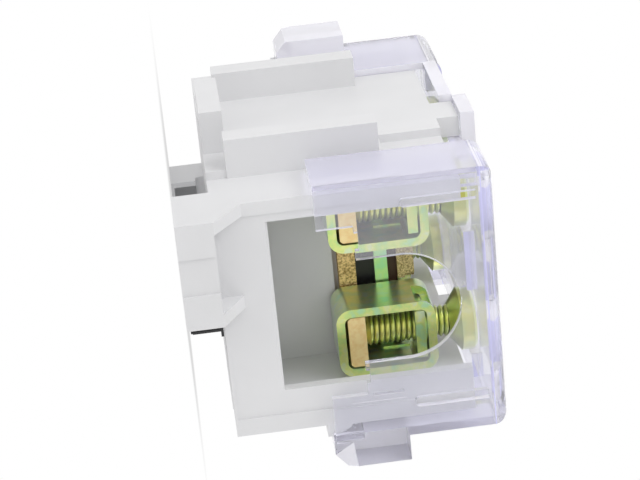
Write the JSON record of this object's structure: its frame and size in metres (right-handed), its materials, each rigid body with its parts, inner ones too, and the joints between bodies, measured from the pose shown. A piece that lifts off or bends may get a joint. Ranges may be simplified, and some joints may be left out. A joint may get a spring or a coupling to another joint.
{
  "type": "terminal block",
  "caption": "Rail-mounted terminal block with screw clamps on a common bus under a clear cover, with wire chambers at both ends.",
  "frame": {"origin": "bottom centre of the bounding box, level with the foot's underside", "axes": "+X across the wires, +Y along the wires away from the foot, +Z away from the rail"},
  "size_m": [0.0628, 0.08, 0.0563],
  "materials": {
    "grey_plastic": "satin moulded",
    "black_plastic": "satin moulded",
    "brown_plastic": "matte",
    "clear_plastic": "clear, polished",
    "brass": "rolled",
    "zinc_steel": "yellow passivated zinc",
    "spring_steel": "drawn"
  },
  "bodies": {
    "base": {"housing": "grey_plastic", "bus_bar": "brass", "insulator": "black_plastic", "bus_bracket": "zinc_steel", "spacer": "brown_plastic", "link_plate": "brass", "bus_screw_1": "zinc_steel", "bus_screw_2": "zinc_steel", "latch_spring": "spring_steel"},
    "latch": {"rail_latch": "black_plastic"},
    "cover": {"cover": "clear_plastic"},
    "clamp_1": {"clamp_cage_1": "zinc_steel", "nut_plate_1": "zinc_steel"},
    "screw_1": {"clamp_screw_1": "zinc_steel"},
    "clamp_2": {"clamp_cage_2": "zinc_steel", "nut_plate_2": "zinc_steel"},
    "screw_2": {"clamp_screw_2": "zinc_steel"},
    "clamp_3": {"clamp_cage_3": "zinc_steel", "nut_plate_3": "zinc_steel"},
    "screw_3": {"clamp_screw_3": "zinc_steel"},
    "clamp_4": {"clamp_cage_4": "zinc_steel", "nut_plate_4": "zinc_steel"},
    "screw_4": {"clamp_screw_4": "zinc_steel"}
  },
  "joints": [
    {"name": "cover_lift", "type": "slide", "parent": "base", "child": "cover", "axis": [0, 0, 1], "range_m": [0, 0.035]},
    {"name": "latch_slide", "type": "slide", "parent": "base", "child": "latch", "axis": [0, -1, 0], "range_m": [0, 0.003], "stiffness_N_per_m": 1200, "springref_m": -0.002, "deforming": ["latch_spring"]},
    {"name": "screw_1_turn", "type": "hinge", "parent": "base", "child": "screw_1", "pos_m": [0.0123, -0.0162, 0.04], "axis": [0, 0, 1], "range_deg": [0, 3240]},
    {"name": "clamp_1_slide", "type": "slide", "parent": "base", "child": "clamp_1", "axis": [0, 0, -1], "range_m": [0, 0.009]},
    {"name": "screw_2_turn", "type": "hinge", "parent": "base", "child": "screw_2", "pos_m": [-0.0123, -0.0162, 0.04], "axis": [0, 0, 1], "range_deg": [0, 3240]},
    {"name": "clamp_2_slide", "type": "slide", "parent": "base", "child": "clamp_2", "axis": [0, 0, -1], "range_m": [0, 0.009]},
    {"name": "screw_3_turn", "type": "hinge", "parent": "base", "child": "screw_3", "pos_m": [-0.0123, 0.0203, 0.04], "axis": [0, 0, 1], "range_deg": [0, 3240]},
    {"name": "clamp_3_slide", "type": "slide", "parent": "base", "child": "clamp_3", "axis": [0, 0, -1], "range_m": [0, 0.009]},
    {"name": "screw_4_turn", "type": "hinge", "parent": "base", "child": "screw_4", "pos_m": [0.0123, 0.0203, 0.04], "axis": [0, 0, 1], "range_deg": [0, 3240]},
    {"name": "clamp_4_slide", "type": "slide", "parent": "base", "child": "clamp_4", "axis": [0, 0, -1], "range_m": [0, 0.009]}
  ],
  "couplings": [
    {"joint": "screw_1_turn", "follows": "clamp_1_slide", "rad_per_m": 6283.2},
    {"joint": "screw_2_turn", "follows": "clamp_2_slide", "rad_per_m": 6283.2},
    {"joint": "screw_3_turn", "follows": "clamp_3_slide", "rad_per_m": 6283.2},
    {"joint": "screw_4_turn", "follows": "clamp_4_slide", "rad_per_m": 6283.2}
  ]
}
